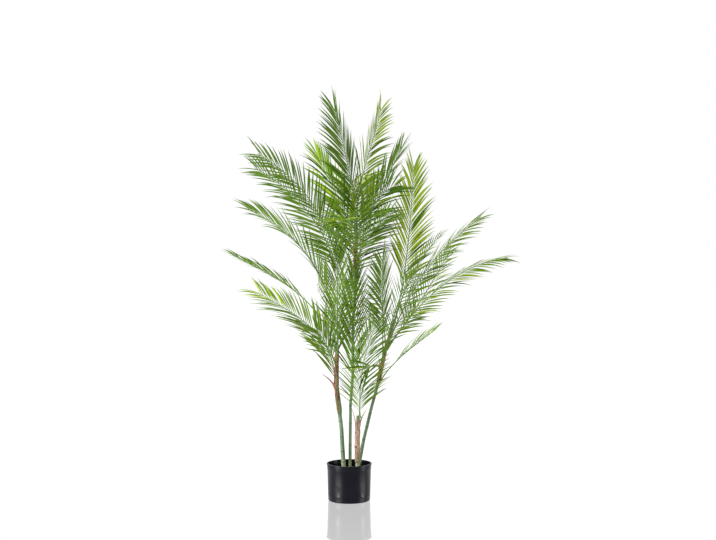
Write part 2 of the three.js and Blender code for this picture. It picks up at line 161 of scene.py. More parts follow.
# Dried tongues: degrees that they lean over, then for each its height, heading, how far the tip
# stands out and rises, and width
TONGUE_LEAN = 55
TONGUES = {
    "left": [(404, 190, 52, 56, 9), (455, 250, 14, 46, 8)],
    "middle": [(880, 200, 16, 50, 7)],
    "front": [(268, -12, 30, 70, 10), (262, 160, 18, 78, 10), (250, -100, 16, 66, 9)],
    "right": [(470, 120, 15, 52, 8), (584, 56, 22, 34, 6)],
}

# Greens of the leaflets, from the deepest to the palest with a grey one last: the cloth's own
# tones, with painted shade in the darkest ones and painted light in the bright and pale ones.
# Then the underside's, and the share of a spray's leaflets that have its own tone
LEAF_TONES = ("#223e04", "#476e0c", "#739b14", "#9ab422", "#b0c43e", "#738e3c")
LEAF_UNDER = "#638626"
DEEP, MID, FRESH, BRIGHT, PALE, GREY = range(6)
OWN_SHARE = 0.6

# Fronds: height of the foot on the stem, heading, reach, rise, slopes at the foot and at the
# tip, how far the foot's slope carries, roll of the blade, bare share of the rib, degrees of
# the first leaflets from the rib, and the leaflets' length over the usual. Many of these were
# fitted to the photograph by scratch programs, and report.md says which. Then, set one by
# one: the spray's own tone, and the step and the width of its leaflets over the usual
FROND_SIZES = ("name", "foot", "heading", "reach", "rise", "lift", "fall", "bend", "roll", "bare",
               "spread", "leaf", "tone", "step", "width")
# A spray's tone is partly its cloth's green and partly painted light and shade: darker tones stand
# for sprays in shade, brighter ones for sprays that catch the light
FRONDS = [dict(zip(FROND_SIZES, row), stem=row[0].split("_")[0]) for row in [
    ("left_1", 540, 196, 425, 376, 74, 33, 0.43, 15, 0.4, 26, 0.62, BRIGHT, 0.8, 1.1),
    ("left_2", 412, 150, 388, 361, 94, 30, 0.42, -44, 0.05, 36, 1.02, GREY, 0.8, 0.82),
    ("left_3", 494, 240, 190, 150, 48, 10, 0.42, 51, 0.16, 31, 1.15, GREY, 0.85, 0.78),
    ("left_4", 556, 164, 386, 519, 90, 19, 0.47, 45, 0.28, 30, 1, MID, 1, 1),
    ("left_5", 558, 84, 90, 382, 88, 20, 0.4, -7, 0.08, 30, 1.12, FRESH, 0.8, 0.62),
    ("left_6", 522, 108, 300, 270, 70, 0, 0.36, 82, 0.28, 60, 1.15, MID, 0.8, 0.75),
    ("left_7", 528, 284, 190, 280, 80, 20, 0.36, -36, 0.11, 47, 1.06, BRIGHT, 0.75, 0.65),
    ("middle_1", 690, 190, 390, 588, 76, 30, 0.6, 80, 0.24, 46, 0.88, MID, 0.85, 0.95),
    ("middle_2", 866, 132, 240, 459, 94, 68, 0.33, -56, 0.2, 30, 1.03, FRESH, 1, 1),
    ("middle_3", 970, 228, 130, 492, 94, 72, 0.3, 92, 0.12, 42, 1.05, FRESH, 0.7, 1),
    ("middle_4", 976, 58, 178, 524, 94, 87, 0.42, 84, 0.06, 44, 0.95, BRIGHT, 0.85, 1),
    ("middle_5", 936, -24, 195, 393, 90, 76, 0.25, -14, 0.18, 30, 0.92, FRESH, 0.85, 0.95),
    ("middle_6", 948, 46, 270, 192, 58, -23, 0.55, 63, 0.24, 39, 1.14, MID, 1, 1),
    ("middle_7", 872, -44, 210, 180, 56, 20, 0.4, -71, 0.14, 37, 1.14, BRIGHT, 0.8, 0.8),
    ("middle_8", 930, -106, 250, 20, 88, -55, 0.5, 6, 0.15, 61, 1.15, FRESH, 0.8, 0.8),
    ("middle_9", 846, 92, 330, 350, 70, 5, 0.36, 2, 0.14, 61, 1.15, DEEP, 0.8, 0.78),
    ("middle_10", 790, 78, 370, 260, 68, 0, 0.36, 15, 0.18, 62, 1.15, DEEP, 0.8, 0.75),
    ("middle_11", 742, -104, 330, 230, 72, 0, 0.36, -21, 0.21, 61, 1.15, MID, 0.8, 0.72),
    ("middle_12", 430, -84, 96, 450, 86, 70, 0.36, 0, 0.05, 30, 1.09, BRIGHT, 0.75, 0.65),
    ("middle_13", 630, 198, 408, 584, 80, 20, 0.5, 68, 0.3, 46, 0.85, MID, 0.85, 0.9),
    ("front_1", 300, -42, 90, 402, 92, 80, 0.6, -62, 0.06, 48, 1.02, GREY, 0.42, 0.52),
    ("right_1", 640, 66, 208, 644, 52, 82, 0.33, 38, 0.25, 40, 0.98, BRIGHT, 0.85, 1.1),
    ("right_2", 584, 2, 370, 481, 68, 45, 0.58, 140, 0.2, 42, 0.7, FRESH, 0.9, 1),
    ("right_3", 566, -32, 262, 432, 74, 41, 0.6, -10, 0.35, 38, 0.5, GREY, 1, 1),
    ("right_4", 540, -12, 492, 339, 58, -1, 0.46, 150, 0.12, 46, 0.66, FRESH, 0.9, 1.1),
    ("right_5", 424, -36, 285, 232, 60, 36, 0.27, 30, 0.3, 31, 0.7, GREY, 0.8, 0.8),
    ("right_6", 556, 24, 290, 414, 46, 62, 0.3, 62, 0.2, 46, 0.58, GREY, 1, 1),
    ("right_7", 500, -92, 150, 426, 88, 70, 0.36, 46, 0.23, 40, 0.9, BRIGHT, 0.7, 1.05),
    ("right_8", 478, -150, 95, -50, 46, -75, 0.36, -82, 0.36, 37, 1.15, MID, 0.8, 0.8),
    ("right_9", 546, 96, 340, 250, 70, 5, 0.36, -48, 0.3, 46, 0.62, MID, 1, 1),
    ("right_10", 508, 66, 380, 170, 60, -10, 0.36, 31, 0.18, 42, 0.68, GREY, 1, 1),
    ("right_11", 530, -66, 300, 300, 70, 0, 0.36, -43, 0.4, 44, 0.58, GREY, 1, 1),
]]

# Ribs: how far the tip's slope carries, how far the rib ends short of the frond's tip, its
# radius at the blade and at its end over the foot's, the flat of its upper side, and how much
# wider the clasping foot is and how far up
RIB_SIDES = 8
RIB_BEND_TIP = 0.3
RIB_SHORT = 66
RIB_AT_BLADE = 0.72
RIB_AT_END = 0.36
RIB_FLAT = 0.55
CLASP_WIDER = 0.9
CLASP_REACH = 14

# Leaflets: the usual length, the rib's length from which they have it, their sag and bow, how
# much slimmer and shorter they get to the tip and how much they swell between, the share of
# the foot's spread that is left at the tip, degrees that a pair rises, the fold, and how much
# thinner the tip is
LEAFLET_LENGTH = 180
LEAFLET_FULL_AT = 500
LEAFLET_SAG = 0.09
LEAFLET_BOW = 0.22
LEAFLET_SLIM = 0.2
LEAFLET_SHORT = 0.3
LEAFLET_SWELL = 0.28
FORWARD_TIP = 0.5
VEE = 18
LEAF_FOLD = 0.3
LEAF_THINNER = 0.6

# Stations of a leaflet from root to tip, and its width there over its widest
LEAF_AT = np.array([0, 0.08, 0.2, 0.36, 0.52, 0.67, 0.81, 0.93])
LEAF_WIDE = np.array([0.24, 0.5, 0.86, 1.0, 0.93, 0.72, 0.44, 0.17])

# Room that a leaflet keeps from a stem's skin, and more from that and from any rib, and the
# turns in degrees that are tried to free one
STEM_ROOM = 2.5
LEAF_ROOM = 0.6
TURNS = (7, -7, 14)

# Studio lights: name, degrees to the left of the camera, height in metres, panel's width and
# height, watts
LIGHTS = (
    ("strip_left", 60, -0.43, 0.6, 2.0, 150),
    ("strip_right", -78, -0.43, 0.3, 2.0, 80),
    ("fill_left", 60, 0.55, 0.8, 0.8, 44),
    ("fill_right", -78, 0.55, 0.45, 0.8, 22),
)
LIGHT_AWAY = 2.6


# Materials

def linear(code, alpha=1.0):
    """An sRGB hex colour as linear RGBA."""
    parts = [int(code[i:i + 2], 16) / 255 for i in (1, 3, 5)]
    return [c / 12.92 if c <= 0.04045 else ((c + 0.055) / 1.055) ** 2.4 for c in parts] + [alpha]


def wire(tree, node, links=None, values=None):
    """Sets a node's sockets: what is linked to them, and plain values."""
    for key, value in (values or {}).items():
        node.inputs[key].default_value = value
    for key, socket in (links or {}).items():
        tree.links.new(socket, node.inputs[key])


def add_node(tree, kind, links=None, values=None, stops=None, **settings):
    """A node with its settings, its sockets' values and links, and a ramp's (place, hex) stops."""
    node = tree.nodes.new(kind)
    for key, value in settings.items():
        setattr(node, key, value)
    wire(tree, node, links, values)
    for index, (place, code) in enumerate(stops or ()):
        if index > 1:
            node.color_ramp.elements.new(place)
        node.color_ramp.elements[index].position = place
        node.color_ramp.elements[index].color = linear(code)
    return node


def new_material(name):
    """A node material with its shader alone, and the socket of its Object coordinates."""
    material = bpy.data.materials.new(name)
    material.use_nodes = True
    tree = material.node_tree
    tree.nodes.clear()
    shader = add_node(tree, "ShaderNodeBsdfPrincipled")
    add_node(tree, "ShaderNodeOutputMaterial", {"Surface": shader.outputs["BSDF"]})
    return material, tree, shader, add_node(tree, "ShaderNodeTexCoord").outputs["Object"]


def drawn_noise(tree, at, wide, high, detail):
    """A noise drawn out to streaks of so many metres, for a surface's tones and its relief."""
    drawn = add_node(tree, "ShaderNodeMapping", {"Vector": at},
                     {"Scale": (1 / wide, 1 / wide, 1 / high)})
    return add_node(tree, "ShaderNodeTexNoise", {"Vector": drawn.outputs["Vector"]},
                    {"Scale": 1.0, "Detail": detail, "Roughness": 0.6}).outputs["Fac"]


def polypropylene_black(code):
    """Injection-moulded black polypropylene."""
    # Near black and satin: soft upright bands of light, slightly scuffed, with a faint ripple
    material, tree, shader, at = new_material("moulded_black_polypropylene")
    cloud = add_node(tree, "ShaderNodeTexNoise", {"Vector": at},
                     {"Scale": 1 / 0.03, "Detail": 2.0})
    tone = add_node(tree, "ShaderNodeValToRGB", {"Fac": cloud.outputs["Fac"]},
                    stops=[(0.3, code), (0.75, "#090912")])
    gloss = add_node(tree, "ShaderNodeMapRange",
                     {"Value": drawn_noise(tree, at, 0.012, 0.0009, 4.0)},
                     {"To Min": 0.27, "To Max": 0.3})
    peel = add_node(tree, "ShaderNodeTexNoise", {"Vector": at},
                    {"Scale": 1 / 0.0012, "Detail": 2.0})
    bump = add_node(tree, "ShaderNodeBump", {"Height": peel.outputs["Fac"]},
                    {"Distance": 0.0001, "Strength": 0.04})
    wire(tree, shader, {"Base Color": tone.outputs["Color"], "Roughness": gloss.outputs["Result"],
                        "Normal": bump.outputs["Normal"]},
         {"IOR": 1.49, "Specular IOR Level": 0.14})
    return material


def cast_cement(code):
    """Cement poured round the stems."""
    # Matt grey-brown, stained in patches, with sand of about a millimetre
    material, tree, shader, at = new_material("cast_cement")
    grit = add_node(tree, "ShaderNodeTexNoise", {"Vector": at},
                    {"Scale": 1 / 0.0014, "Detail": 4.0, "Roughness": 0.7})
    stain = add_node(tree, "ShaderNodeTexNoise", {"Vector": at},
                     {"Scale": 1 / 0.025, "Detail": 3.0})
    both = add_node(tree, "ShaderNodeMath", {0: grit.outputs["Fac"], 1: stain.outputs["Fac"]},
                    operation="MULTIPLY")
    tone = add_node(tree, "ShaderNodeValToRGB", {"Fac": both.outputs["Value"]},
                    stops=[(0.12, "#24211e"), (0.26, code), (0.42, "#5d5850")])
    bump = add_node(tree, "ShaderNodeBump", {"Height": grit.outputs["Fac"]},
                    {"Distance": 0.0006, "Strength": 0.8})
    wire(tree, shader, {"Base Color": tone.outputs["Color"], "Normal": bump.outputs["Normal"]},
         {"Roughness": 0.95})
    return material


def stem_polyethylene(name, low, code, high, foot=None):
    """Polyethylene moulded over wire, as the stems, their rings and the fronds' ribs have it."""
    # Satin and dull, with paler and darker streaks along the stem, and pale where it was cut
    material, tree, shader, at = new_material(name)
    streak = drawn_noise(tree, at, 0.0022, 0.05, 3.0)
    tone = add_node(tree, "ShaderNodeValToRGB", {"Fac": streak},
                    stops=[(0.3, low), (0.5, code), (0.72, high)])
    colour = tone.outputs["Color"]
    if foot:
        height = add_node(tree, "ShaderNodeSeparateXYZ", {"Vector": at})
        near = add_node(tree, "ShaderNodeMapRange", {"Value": height.outputs["Z"]},
                        {"From Min": PALE_FROM * MM, "From Max": PALE_BELOW * MM})
        pale = add_node(tree, "ShaderNodeMix", {"Factor": near.outputs["Result"], "A": colour},
                        {"B": linear(foot)}, data_type="RGBA")
        colour = pale.outputs["Result"]
    bump = add_node(tree, "ShaderNodeBump", {"Height": streak},
                    {"Distance": 0.0004, "Strength": 0.5})
    wire(tree, shader, {"Base Color": colour, "Normal": bump.outputs["Normal"]},
         {"Roughness": 0.5, "IOR": 1.5})
    return material


def husk_fibre(name, dark, mid, pale):
    """Dried palm fibre glued round the stems."""
    # Matt, with brown threads of about a millimetre that run along the stem
    material, tree, shader, at = new_material(name)
    thread = drawn_noise(tree, at, 0.0014, 0.03, 5.0)
    tone = add_node(tree, "ShaderNodeValToRGB", {"Fac": thread},
                    stops=[(0.3, dark), (0.5, mid), (0.7, pale)])
    bump = add_node(tree, "ShaderNodeBump", {"Height": thread},
                    {"Distance": 0.0008, "Strength": 0.7})
    wire(tree, shader, {"Base Color": tone.outputs["Color"], "Normal": bump.outputs["Normal"]},
         {"Roughness": 0.85})
    return material


def leaf_cloth(name, code):
    """Woven polyester coated in plastic, as the leaflets are cut from."""
    # Satin, one green for each tone of leaflet, with a woven grain that breaks up the gloss
    material, tree, shader, at = new_material(name)
    grain = add_node(tree, "ShaderNodeTexNoise", {"Vector": at},
                     {"Scale": 1 / 0.0016, "Detail": 2.0})
    gloss = add_node(tree, "ShaderNodeMapRange", {"Value": grain.outputs["Fac"]},
                     {"To Min": 0.36, "To Max": 0.56})
    wire(tree, shader, {"Roughness": gloss.outputs["Result"]},
         {"Base Color": linear(code), "IOR": 1.46, "Specular IOR Level": 0.14})
    return material


# Meshes

def added(name, data):
    """A new object in the scene."""
    thing = bpy.data.objects.new(name, data)
    bpy.context.scene.collection.objects.link(thing)
    return thing


def finished(name, mesh, materials, nodes, smooth_under):
    """Makes a mesh a piece: smooth, with its materials, on its body and in its node's place."""
    for material in materials:
        mesh.materials.append(material)
    if smooth_under:
        mesh.polygons.foreach_set("use_smooth", [True] * len(mesh.polygons))
        mesh.set_sharp_from_angle(angle=math.radians(smooth_under))
    piece = added(name, mesh)
    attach(piece, BODY)
    if nodes:
        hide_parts(*nodes)
    return piece


def mesh_of(bm, name):
    """Closes a bmesh: doubles merged, faces outwards."""
    bmesh.ops.remove_doubles(bm, verts=bm.verts, dist=1e-6)
    bmesh.ops.recalc_face_normals(bm, faces=bm.faces)
    mesh = bpy.data.meshes.new(name)
    bm.to_mesh(mesh)
    bm.free()
    return mesh


def turned(profile, steps):
    """A bmesh turned about Z from (radius, height) points in millimetres."""
    bm = bmesh.new()
    points = [bm.verts.new((r * MM, 0, h * MM)) for r, h in profile]
    edges = [bm.edges.new(pair) for pair in zip(points, points[1:])]
    bmesh.ops.spin(bm, geom=points + edges, axis=(0, 0, 1), angle=2 * math.pi, steps=steps,
                   use_merge=True)
    bmesh.ops.remove_doubles(bm, verts=bm.verts, dist=1e-6)
    return bm


def arc(centre, radius, start, end, steps):
    """Points of a profile's rounded corner, in degrees from outwards towards up."""
    turns = np.radians(np.linspace(start, end, steps + 1))
    return [(centre[0] + radius * math.cos(a), centre[1] + radius * math.sin(a)) for a in turns]


def mix(a, b, t):
    return a + (b - a) * t


def stem_at(name, height):
    """The stem's middle line and radius at a height, in millimetres."""
    rows = STEMS[name]
    k = 0
    while k + 2 < len(rows) and height > rows[k + 1][0]:
        k += 1
    t = (height - rows[k][0]) / (rows[k + 1][0] - rows[k][0])
    x, y = (mix(rows[k][i], rows[k + 1][i], t) for i in (1, 2))
    return np.array([x, y, height]), mix(rows[k][3], rows[k + 1][3], min(t, 1))


def level_ring(centre, radii):
    """A level ring of points about a centre."""
    turn = np.linspace(0, 2 * math.pi, len(radii), endpoint=False)
    level = np.stack([np.cos(turn), np.sin(turn), np.zeros(len(turn))], 1)
    return centre + level * radii[:, None]


def loft(bm, rings, material=0):
    """Adds a closed tube through rings of points in millimetres; returns its corners in order."""
    first_edge, first_face = len(bm.edges), len(bm.faces)
    ring = bmesh.ops.create_circle(bm, segments=len(rings[0]), radius=1, cap_ends=True)["verts"]
    edges = bm.edges[first_edge:]
    corners = []
    for k, places in enumerate(rings):
        if k:
            grown = bmesh.ops.extrude_edge_only(bm, edges=edges)["geom"]
            ring = [g for g in grown if isinstance(g, bmesh.types.BMVert)]
            edges = [g for g in grown if isinstance(g, bmesh.types.BMEdge)
                     and all(v in ring for v in g.verts)]
        for vert, place in zip(ring, places):
            vert.co = Vector(place) * MM
        corners += ring
    bmesh.ops.contextual_create(bm, geom=edges)
    for face in bm.faces[first_face:]:
        face.material_index = material
    return corners


class PotSizes(bpy.types.PropertyGroup):
    colour: bpy.props.StringProperty(
        name="Pot colour", description="sRGB hex of the moulded plastic", default="#04040a")
    sides: bpy.props.IntProperty(
        name="Sides", description="Faces round the pot", default=128, min=24)
    fill_colour: bpy.props.StringProperty(
        name="Fill colour", description="sRGB hex of the cast fill", default="#3f3b36")
    fill_relief: bpy.props.FloatProperty(
        name="Fill relief", description="How far the fill's surface swells and dips",
        default=0.0022, min=0, unit="LENGTH")


class StemSizes(bpy.types.PropertyGroup):
    colour: bpy.props.StringProperty(
        name="Stem colour", description="sRGB hex of the stems", default="#5f7a58")
    ring_out: bpy.props.FloatProperty(
        name="Ring height", description="How far a ring stands out of the stem",
        default=0.0006, min=0, unit="LENGTH")
    sides: bpy.props.IntProperty(
        name="Sides", description="Faces round a stem", default=20, min=8)


class SheathSizes(bpy.types.PropertyGroup):
    strands: bpy.props.IntProperty(
        name="Strands", description="Loose fibres on each sheath", default=90, min=0)
    strand_width: bpy.props.FloatProperty(
        name="Strand width", description="Width of a loose fibre", default=0.0014, unit="LENGTH")
    ragged: bpy.props.FloatProperty(
        name="Ragged lip", description="Depth of the notches of the torn lip",
        default=0.022, min=0, unit="LENGTH")
    tongue_thick: bpy.props.FloatProperty(
        name="Tongue thickness", description="Depth of a dried tongue, which is rolled",
        default=0.0036, unit="LENGTH")


class FrondSizes(bpy.types.PropertyGroup):
    pitch: bpy.props.FloatProperty(
        name="Leaflet step", description="Distance between pairs of leaflets along the rib",
        default=0.015, min=0.004, unit="LENGTH")
    width: bpy.props.FloatProperty(
        name="Leaflet width", description="Widest part of a leaflet",
        default=0.0075, min=0.001, unit="LENGTH")
    thick: bpy.props.FloatProperty(
        name="Leaflet thickness", description="Thickness of a leaflet at its ridge",
        default=0.0008, min=0.0001, unit="LENGTH")
    stray: bpy.props.FloatProperty(
        name="Stray", description="How far leaflets stray from their even lie",
        default=math.radians(5), min=0, subtype="ANGLE")
    rib_foot: bpy.props.FloatProperty(
        name="Rib at the foot", description="Radius of a rib at its foot",
        default=0.0031, unit="LENGTH")


class StageSizes(bpy.types.PropertyGroup):
    distance: bpy.props.FloatProperty(
        name="Camera distance", description="From the camera to the middle of the pot",
        default=4.0, unit="LENGTH")
    height: bpy.props.FloatProperty(
        name="Camera height", description="Height of the level camera",
        default=0.833, unit="LENGTH")
    aside: bpy.props.FloatProperty(
        name="Camera aside", description="How far the camera stands to the right",
        default=0.0319, unit="LENGTH")
    lens: bpy.props.FloatProperty(
        name="Lens", description="Focal length on a 36 mm sensor", default=55.48)
    ambient: bpy.props.FloatProperty(
        name="Ambient", description="Light from all round over the white surroundings",
        default=0.29, min=0)
    ceiling: bpy.props.FloatProperty(
        name="Ceiling", description="Strength of the soft light from above",
        default=3.1, min=0)
    floor: bpy.props.FloatVectorProperty(
        name="Floor", description="Colour of the glossy studio floor", subtype="COLOR",
        size=3, default=(0.12, 0.12, 0.12), min=0, max=1)
    floor_glow: bpy.props.FloatProperty(
        name="Floor glow", description="Light of the overexposed floor itself",
        default=0.77, min=0)


def replaced(prefix):
    """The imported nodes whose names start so, in order."""
    return sorted(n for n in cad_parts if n.startswith(prefix))


class PALM_OT_pot(bpy.types.Operator):
    """Pot with a rolled rim and stacking hoops, open at the top"""
    bl_idname = "palm.pot"
    bl_label = "Pot"

    def execute(self, context):
        sizes = context.scene.palm_pot
        wall_top = POT_HEIGHT - POT_RIM_DROP

        def wall_at(height):
            return mix(POT_FOOT_R, POT_TOP_R, height / wall_top)

        profile = [(0, 0), (POT_FOOT_R - POT_EDGE_R - 2, 0)]
        profile += arc((POT_FOOT_R - POT_EDGE_R, POT_EDGE_R), POT_EDGE_R, -90, 0, 8)
        for height, out in ((SEAM_AT - 1, 0), (SEAM_AT, SEAM_OUT), (SEAM_AT + 1, 0)):
            profile.append((wall_at(height) + out, height))
        for i in range(HOOP_COUNT, 0, -1):
            low = wall_top - i * HOOP_STEP
            for share in np.linspace(0, 1, 7):
                height = low + share * HOOP_HEIGHT
                profile.append((wall_at(height) + HOOP_OUT * math.sin(math.pi * share), height))
        profile += [(POT_TOP_R, wall_top - 0.4)]
        profile += arc((POT_RIM_R - LIP_UNDER_R, wall_top + LIP_UNDER_R), LIP_UNDER_R, -60, 0, 4)
        profile += arc((POT_RIM_R - LIP_R, POT_HEIGHT - LIP_R), LIP_R, 0, 90, 5)
        inner, corner = POT_TOP_R - POT_WALL + MOUTH_R, POT_FOOT_R - POT_WALL - POT_CORNER_R
        profile += arc((inner, POT_HEIGHT - MOUTH_R), MOUTH_R, 90, 180, 4)
        profile += arc((corner, POT_FLOOR + POT_CORNER_R), POT_CORNER_R, 0, -90, 4)
        profile += [(0, POT_FLOOR)]
        mesh = mesh_of(turned(profile, sizes.sides), "pot_fine")
        finished("pot_fine", mesh, [polypropylene_black(sizes.colour)], ["pot"], 35)
        return {"FINISHED"}


class PALM_OT_fill(bpy.types.Operator):
    """Cast cement that fills the pot up to the stems' cut feet"""
    bl_idname = "palm.fill"
    bl_label = "Fill"

    def execute(self, context):
        sizes = context.scene.palm_pot
        inner = mix(POT_FOOT_R, POT_TOP_R, FILL_TOP / POT_HEIGHT) - POT_WALL - ROUND_CLEAR
        foot, low = POT_FOOT_R - POT_WALL - ROUND_CLEAR, POT_FLOOR + FILL_LIFT
        profile = [(0, low), (foot - FILL_CORNER, low), (foot, low + FILL_CORNER)]
        profile += [(inner, FILL_TOP - FILL_EDGE), (inner - FILL_EDGE, FILL_TOP)]
        profile += [(r, FILL_TOP) for r in np.linspace(inner - 4, 3, 26)] + [(0, FILL_TOP)]
        bm = turned(profile, 96)
        feet = [stem_at(name, FILL_TOP) for name in STEMS]
        for vert in bm.verts:
            if vert.co.z < (FILL_TOP - 1) * MM:
                continue
            swell = noise.noise(vert.co * 34) + 0.5 * noise.noise(vert.co * 110)
            vert.co.z += sizes.fill_relief * (swell * 0.5 - 0.35)
            for foot_at, radius in feet:
                away = math.hypot(vert.co.x / MM - foot_at[0], vert.co.y / MM - foot_at[1]) - radius
                vert.co.z += sizes.fill_relief * 0.9 * math.exp(-max(away, 0) / 4)
        mesh = mesh_of(bm, "fill_fine")
        finished("fill_fine", mesh, [cast_cement(sizes.fill_colour)], ["fill"], 60)
        return {"FINISHED"}


class PALM_OT_stems(bpy.types.Operator):
    """The four ringed stems"""
    bl_idname = "palm.stems"
    bl_label = "Stems"

    def execute(self, context):
        sizes = context.scene.palm_stem
        green = stem_polyethylene("moulded_stem_polyethylene", "#4a6244", sizes.colour, "#93a884",
                                  "#b3c096")
        scar = stem_polyethylene("ring_scar_polyethylene", "#352d1c", "#4d4428", "#75704a")
        for name, nodes in NODES.items():
            low, high = STEMS[name][0][0], STEMS[name][-1][0]
            nodes = np.array(nodes)
            heights = np.linspace(low, high, 2 + int((high - low) / STEM_STEP))
            near = (nodes[:, None] + RING_STATIONS).ravel()
            rings = []
            for height in np.unique(np.concatenate([heights, near])):
                centre, radius = stem_at(name, height)
                swell = math.exp(-((np.abs(nodes - height).min() / RING_SPREAD) ** 2))
                out = sizes.ring_out / MM * swell
                wave = STEM_WAVE * np.sin(np.arange(sizes.sides) * 2.4 + height * 0.05)
                rings.append(level_ring(centre, radius + out + wave))
            bm = bmesh.new()
            loft(bm, rings)
            for face in bm.faces:
                if np.abs(nodes - face.calc_center_median().z / MM).min() < RING_SCAR:
                    face.material_index = 1
            mesh = mesh_of(bm, f"stem_{name}_fine")
            finished(f"stem_{name}_fine", mesh, [green, scar], [f"stem_{name}"], 60)
        return {"FINISHED"}


# Curves and blades of the fronds

def unit(v):
    return v / np.maximum(np.linalg.norm(v, axis=-1, keepdims=True), 1e-12)


def turn_about(v, axis, angle):
    """Vectors v turned about unit vectors axis by angle in radians."""
    c, s = np.cos(angle), np.sin(angle)
    return v * c + np.cross(axis, v) * s + axis * (v * axis).sum(-1, keepdims=True) * (1 - c)


class Rib:
    """A frond's rib: a cubic in the vertical plane of its heading, by share of its length."""

    def __init__(self, frond):
        angle = math.radians(frond["heading"])
        self.aim = np.array([math.cos(angle), math.sin(angle), 0.0])
        at, radius = stem_at(frond["stem"], frond["foot"])
        start = at + self.aim * (radius + 1)
        chord = math.hypot(frond["reach"], frond["rise"])
        low, high = chord * frond["bend"], chord * RIB_BEND_TIP
        lift, fall = math.radians(frond["lift"]), math.radians(frond["fall"])

        def plane(out, up):
            return start + self.aim * out + np.array([0, 0, up])

        self.points = np.array([
            start,
            plane(low * math.cos(lift), low * math.sin(lift)),
            plane(frond["reach"] - high * math.cos(fall), frond["rise"] - high * math.sin(fall)),
            plane(frond["reach"], frond["rise"]),
        ])
        self.params = np.linspace(0, 1, 201)
        steps = np.linalg.norm(np.diff(self.curve(self.params), axis=0), axis=1)
        self.length = steps.sum()
        self.shares = np.concatenate([[0], np.cumsum(steps)]) / self.length
        self.roll = math.radians(frond["roll"])
        self.end = 1 - RIB_SHORT / self.length

    def curve(self, u):
        a, b, c, d = self.points
        u = np.asarray(u)[..., None]
        return (1 - u) ** 3 * a + 3 * (1 - u) ** 2 * u * b + 3 * (1 - u) * u * u * c + u ** 3 * d

    def slope(self, u):
        a, b, c, d = self.points
        u = np.asarray(u)[..., None]
        return (1 - u) ** 2 * (b - a) + 2 * (1 - u) * u * (c - b) + u * u * (d - c)

    def frame(self, share):
        """Place, along, side and out at shares of the rib's length."""
        u = np.interp(share, self.shares, self.params)
        along = unit(self.slope(u))
        flat = np.broadcast_to([-self.aim[1], self.aim[0], 0.0], along.shape)
        side = unit(turn_about(flat, along, self.roll))
        return self.curve(u), along, side, unit(np.cross(along, side))


RIBS = {frond["name"]: Rib(frond) for frond in FRONDS}


def rib_tube(frond, foot_r):
    """Rings of a rib: a clasping foot, a channelled stalk and a fine tip."""
    rib = RIBS[frond["name"]]
    share = np.concatenate([np.linspace(0, frond["bare"], 12, endpoint=False),
                            np.linspace(frond["bare"], rib.end + 0.02, 26)])
    at, along, side, out = rib.frame(share)
    blade = np.clip((share - frond["bare"]) / (rib.end - frond["bare"]), 0, 1)
    blade_r, end_r = foot_r * RIB_AT_BLADE, foot_r * RIB_AT_END
    radius = np.where(share < frond["bare"], mix(foot_r, blade_r, share / frond["bare"]),
                      mix(blade_r, end_r, blade))
    clasp = 1 + CLASP_WIDER * np.exp(-share * rib.length / CLASP_REACH)
    turn = np.linspace(0, 2 * math.pi, RIB_SIDES, endpoint=False)
    wide = np.cos(turn)[None, :, None] * (radius * clasp)[:, None, None] * side[:, None]
    high = np.sin(turn)
    high = np.where(high > 0, high * RIB_FLAT, high)[None, :, None]
    return at[:, None] + wide + high * radius[:, None, None] * out[:, None]


def leaf_plan(frond, sizes, rng):
    """The lie of a frond's leaflets: arrays of root, direction, across, up, size, width."""
    rib = RIBS[frond["name"]]
    pitch = sizes.pitch / MM * frond["step"]
    pairs = max(3, round(rib.length * (rib.end - frond["bare"]) / pitch))
    s = np.repeat(np.arange(pairs + 1) / pairs, 2)
    hand = np.tile([-1.0, 1.0], pairs + 1)
    count = len(s)
    stagger = np.where(hand > 0, 0.25, -0.25) * pitch / rib.length
    share = np.clip(mix(frond["bare"], rib.end - 0.004, s) + stagger, frond["bare"] * 0.9, rib.end)
    at, along, side, out = rib.frame(share)
    full = frond["leaf"] * LEAFLET_LENGTH * min(1, 0.5 + rib.length / LEAFLET_FULL_AT / 2)
    swell = 1 - LEAFLET_SWELL * (1 - np.sin(np.pi * mix(0.15, 0.9, s)))
    size = full * swell * (1 - LEAFLET_SHORT * s * s) * rng.uniform(0.88, 1.04, count)
    spread = math.radians(frond["spread"])
    forward = mix(spread, spread * FORWARD_TIP, s ** 1.3) + rng.normal(0, sizes.stray * 0.6, count)
    vee = math.radians(VEE) + rng.normal(0, sizes.stray, count)
    width = sizes.width / MM * frond["width"] * frond["leaf"] ** 0.8 * (1 - LEAFLET_SLIM * s)
    width *= rng.uniform(0.88, 1.12, count)
    return aimed({"at": at, "along": along, "side": side * hand[:, None], "out": out,
                  "forward": forward, "vee": vee, "size": size,
                  "width": width, "bow": LEAFLET_BOW * rng.uniform(0.75, 1.3, count),
                  "sag": LEAFLET_SAG * rng.uniform(0.4, 1.7, count),
                  "curl": rng.uniform(-0.03, 0.06, count), "twist": rng.normal(0, 0.3, count)})


def aimed(plan, turn=0.0):
    """The plan with its leaflets' directions, each turned by so much from the rib."""
    along, out = plan["along"], plan["out"]
    forward, vee = plan["forward"][:, None] + turn, plan["vee"][:, None]
    direction = unit(along * np.cos(forward) + plan["side"] * np.cos(vee) * np.sin(forward)
                     + out * np.sin(vee) * np.sin(forward))
    across = unit(along - direction * (along * direction).sum(-1, keepdims=True))
    up = np.cross(across, direction)
    up *= np.where((up * out).sum(-1, keepdims=True) < 0, -1, 1)
    return {**plan, "dir": direction, "across": across, "up": up}


def leaf_line(plan, u):
    """Points along the leaflets' middle lines at shares u of their length."""
    size, bow, sag, curl = (plan[key][:, None, None] for key in ("size", "bow", "sag", "curl"))
    u = np.asarray(u)[None, :, None]
    rise = (bow - sag) * u - bow * u * u
    return (plan["at"][:, None] + plan["dir"][:, None] * size * u
            + np.array([0, 0, 1.0]) * size * rise
            + plan["across"][:, None] * size * curl * (u * u - u))


